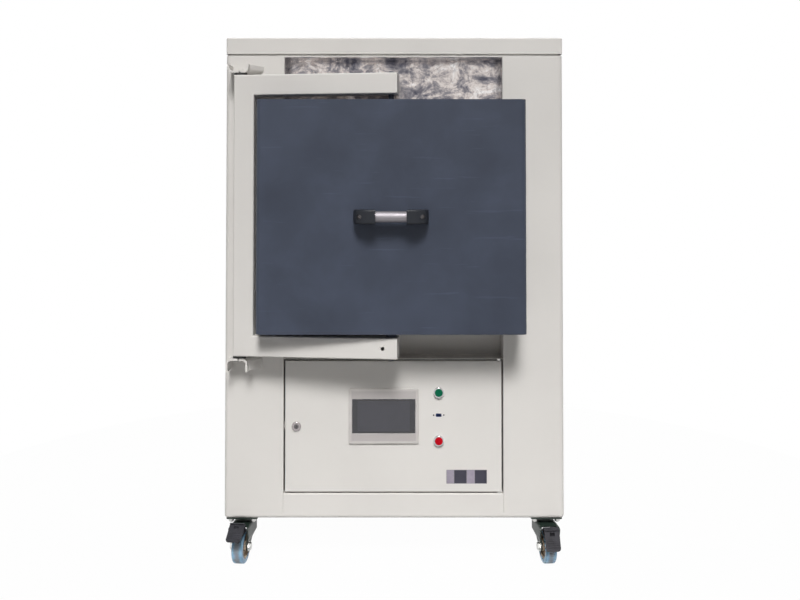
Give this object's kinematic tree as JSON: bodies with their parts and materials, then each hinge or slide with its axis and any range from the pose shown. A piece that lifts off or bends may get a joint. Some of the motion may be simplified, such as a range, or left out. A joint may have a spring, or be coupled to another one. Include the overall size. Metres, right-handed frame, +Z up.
{
  "type": "muffle furnace",
  "caption": "Floor-standing muffle furnace on castors: a fibre-lined chamber behind a yoke-hung blue door, with a touch-screen control door below.",
  "frame": {"origin": "on the floor, at the middle of the machine's outline in X and Y", "axes": "+Z up, front towards -Y, +X to the right seen from the front"},
  "size_m": [1, 1.2297, 1.552],
  "materials": {
    "paint_white": "satin",
    "stainless": "polished",
    "galvanised": "matte",
    "zinc": "satin",
    "black_screw": "satin",
    "fibre_board": "matte",
    "silicon_carbide": "matte",
    "element": "satin",
    "white_ceramic": "matte",
    "aluminium": "satin",
    "probe_steel": "satin",
    "controller_black": "matte",
    "switchgear_grey": "matte",
    "transformer_iron": "matte",
    "gland_nylon": "matte",
    "paint_blue": "satin",
    "black_plastic": "satin",
    "bezel_grey": "satin",
    "screen_glass": "gloss",
    "chrome": "polished",
    "green_plastic": "gloss",
    "red_plastic": "gloss",
    "usb_blue": "satin",
    "fork_green": "satin",
    "hub_beige": "matte",
    "tyre_blue": "satin"
  },
  "bodies": {
    "cabinet": {"base_pan": "paint_white", "left_side_panel": "paint_white", "right_side_panel": "paint_white", "crossbar": "paint_white", "top_frame": "paint_white", "top_cap": "paint_white", "mouth_plate": "stainless", "deck": "galvanised", "inner_case": "galvanised", "hearth_board": "fibre_board", "roof_board": "fibre_board", "wall_boards": "fibre_board", "rear_board": "fibre_board", "hearth_plate": "silicon_carbide", "heating_elements": "element", "element_clamps": "white_ceramic", "element_straps": "aluminium", "thermocouple": "probe_steel", "mounting_plate": "galvanised", "power_controller": "controller_black", "switchgear": "switchgear_grey", "transformer": "transformer_iron", "rear_cover": "paint_white", "cable_gland": "gland_nylon", "hinge_brackets": "paint_white", "hinge_pins": "black_screw", "leaf_pivots": "zinc", "castor_plates": "fork_green", "castor_bolts": "zinc"},
    "yoke": {"yoke": "paint_white"},
    "door": {"door_shell": "paint_blue", "door_back_plate": "galvanised", "door_plug": "fibre_board", "door_pivots": "paint_blue", "handle_ends": "black_plastic", "handle_tube": "aluminium", "handle_screws": "black_screw"},
    "control_door": {"control_door": "paint_white", "screen_housing": "bezel_grey", "screen_glass": "screen_glass", "button_bezels": "chrome", "usb_port": "usb_blue", "lock_housing": "chrome"},
    "lock": {"lock_core": "chrome"},
    "green_button": {"green_button": "green_plastic"},
    "red_button": {"red_button": "red_plastic"},
    "swivel_front_left": {"fork_front_left": "fork_green"},
    "wheel_front_left": {"hub_front_left": "hub_beige", "tyre_front_left": "tyre_blue"},
    "pedal_left": {"pedal_left": "black_plastic"},
    "swivel_front_right": {"fork_front_right": "fork_green"},
    "wheel_front_right": {"hub_front_right": "hub_beige", "tyre_front_right": "tyre_blue"},
    "pedal_right": {"pedal_right": "black_plastic"},
    "swivel_rear_left": {"fork_rear_left": "fork_green"},
    "wheel_rear_left": {"hub_rear_left": "hub_beige", "tyre_rear_left": "tyre_blue"},
    "swivel_rear_right": {"fork_rear_right": "fork_green"},
    "wheel_rear_right": {"hub_rear_right": "hub_beige", "tyre_rear_right": "tyre_blue"}
  },
  "joints": [
    {"name": "yoke_swing", "type": "hinge", "parent": "cabinet", "child": "yoke", "pos_m": [-0.448, -0.45867, 1.023], "axis": [0, 0, -1], "range_deg": [-6.5, 113.5]},
    {"name": "door_pivot", "type": "hinge", "parent": "yoke", "child": "door", "pos_m": [-0.00785, -0.50882, 1.023], "axis": [0, 0, -1], "range_deg": [-113.5, 6.5]},
    {"name": "control_door_swing", "type": "hinge", "parent": "cabinet", "child": "control_door", "pos_m": [0.3085, -0.40468, 0.4035], "axis": [0, 0, 1], "range_deg": [0, 110]},
    {"name": "lock_turn", "type": "hinge", "parent": "control_door", "child": "lock", "pos_m": [-0.288, -0.41268, 0.403], "axis": [0, 1, 0], "range_deg": [0, 90]},
    {"name": "green_press", "type": "slide", "parent": "control_door", "child": "green_button", "axis": [0, 1, 0], "range_m": [0, 0.004], "stiffness_N_per_m": 500, "springref_m": -0.001},
    {"name": "red_press", "type": "slide", "parent": "control_door", "child": "red_button", "axis": [0, 1, 0], "range_m": [0, 0.004], "stiffness_N_per_m": 500, "springref_m": -0.001},
    {"name": "swivel_front_left_turn", "type": "hinge", "parent": "cabinet", "child": "swivel_front_left", "pos_m": [-0.449, -0.36068, 0.116], "axis": [0, 0, 1], "continuous": true},
    {"name": "wheel_front_left_roll", "type": "hinge", "parent": "swivel_front_left", "child": "wheel_front_left", "pos_m": [-0.45266, -0.39548, 0.048], "axis": [0.9945, -0.1045, 0], "continuous": true},
    {"name": "pedal_left_press", "type": "hinge", "parent": "swivel_front_left", "child": "pedal_left", "pos_m": [-0.45496, -0.41736, 0.103], "axis": [0.9945, -0.1045, 0], "range_deg": [0, 35]},
    {"name": "swivel_front_right_turn", "type": "hinge", "parent": "cabinet", "child": "swivel_front_right", "pos_m": [0.449, -0.36068, 0.116], "axis": [0, 0, 1], "continuous": true},
    {"name": "wheel_front_right_roll", "type": "hinge", "parent": "swivel_front_right", "child": "wheel_front_right", "pos_m": [0.45266, -0.39548, 0.048], "axis": [0.9945, 0.1045, 0], "continuous": true},
    {"name": "pedal_right_press", "type": "hinge", "parent": "swivel_front_right", "child": "pedal_right", "pos_m": [0.45496, -0.41736, 0.103], "axis": [0.9945, 0.1045, 0], "range_deg": [-35, 0]},
    {"name": "swivel_rear_left_turn", "type": "hinge", "parent": "cabinet", "child": "swivel_rear_left", "pos_m": [-0.449, 0.53533, 0.116], "axis": [0, 0, 1], "continuous": true},
    {"name": "wheel_rear_left_roll", "type": "hinge", "parent": "swivel_rear_left", "child": "wheel_rear_left", "pos_m": [-0.45747, 0.50136, 0.048], "axis": [0.9703, -0.2419, 0], "continuous": true},
    {"name": "swivel_rear_right_turn", "type": "hinge", "parent": "cabinet", "child": "swivel_rear_right", "pos_m": [0.449, 0.53533, 0.116], "axis": [0, 0, 1], "continuous": true},
    {"name": "wheel_rear_right_roll", "type": "hinge", "parent": "swivel_rear_right", "child": "wheel_rear_right", "pos_m": [0.45747, 0.50136, 0.048], "axis": [0.9703, 0.2419, 0], "continuous": true}
  ],
  "couplings": [
    {"joint": "door_pivot", "follows": "yoke_swing", "ratio": -1}
  ]
}
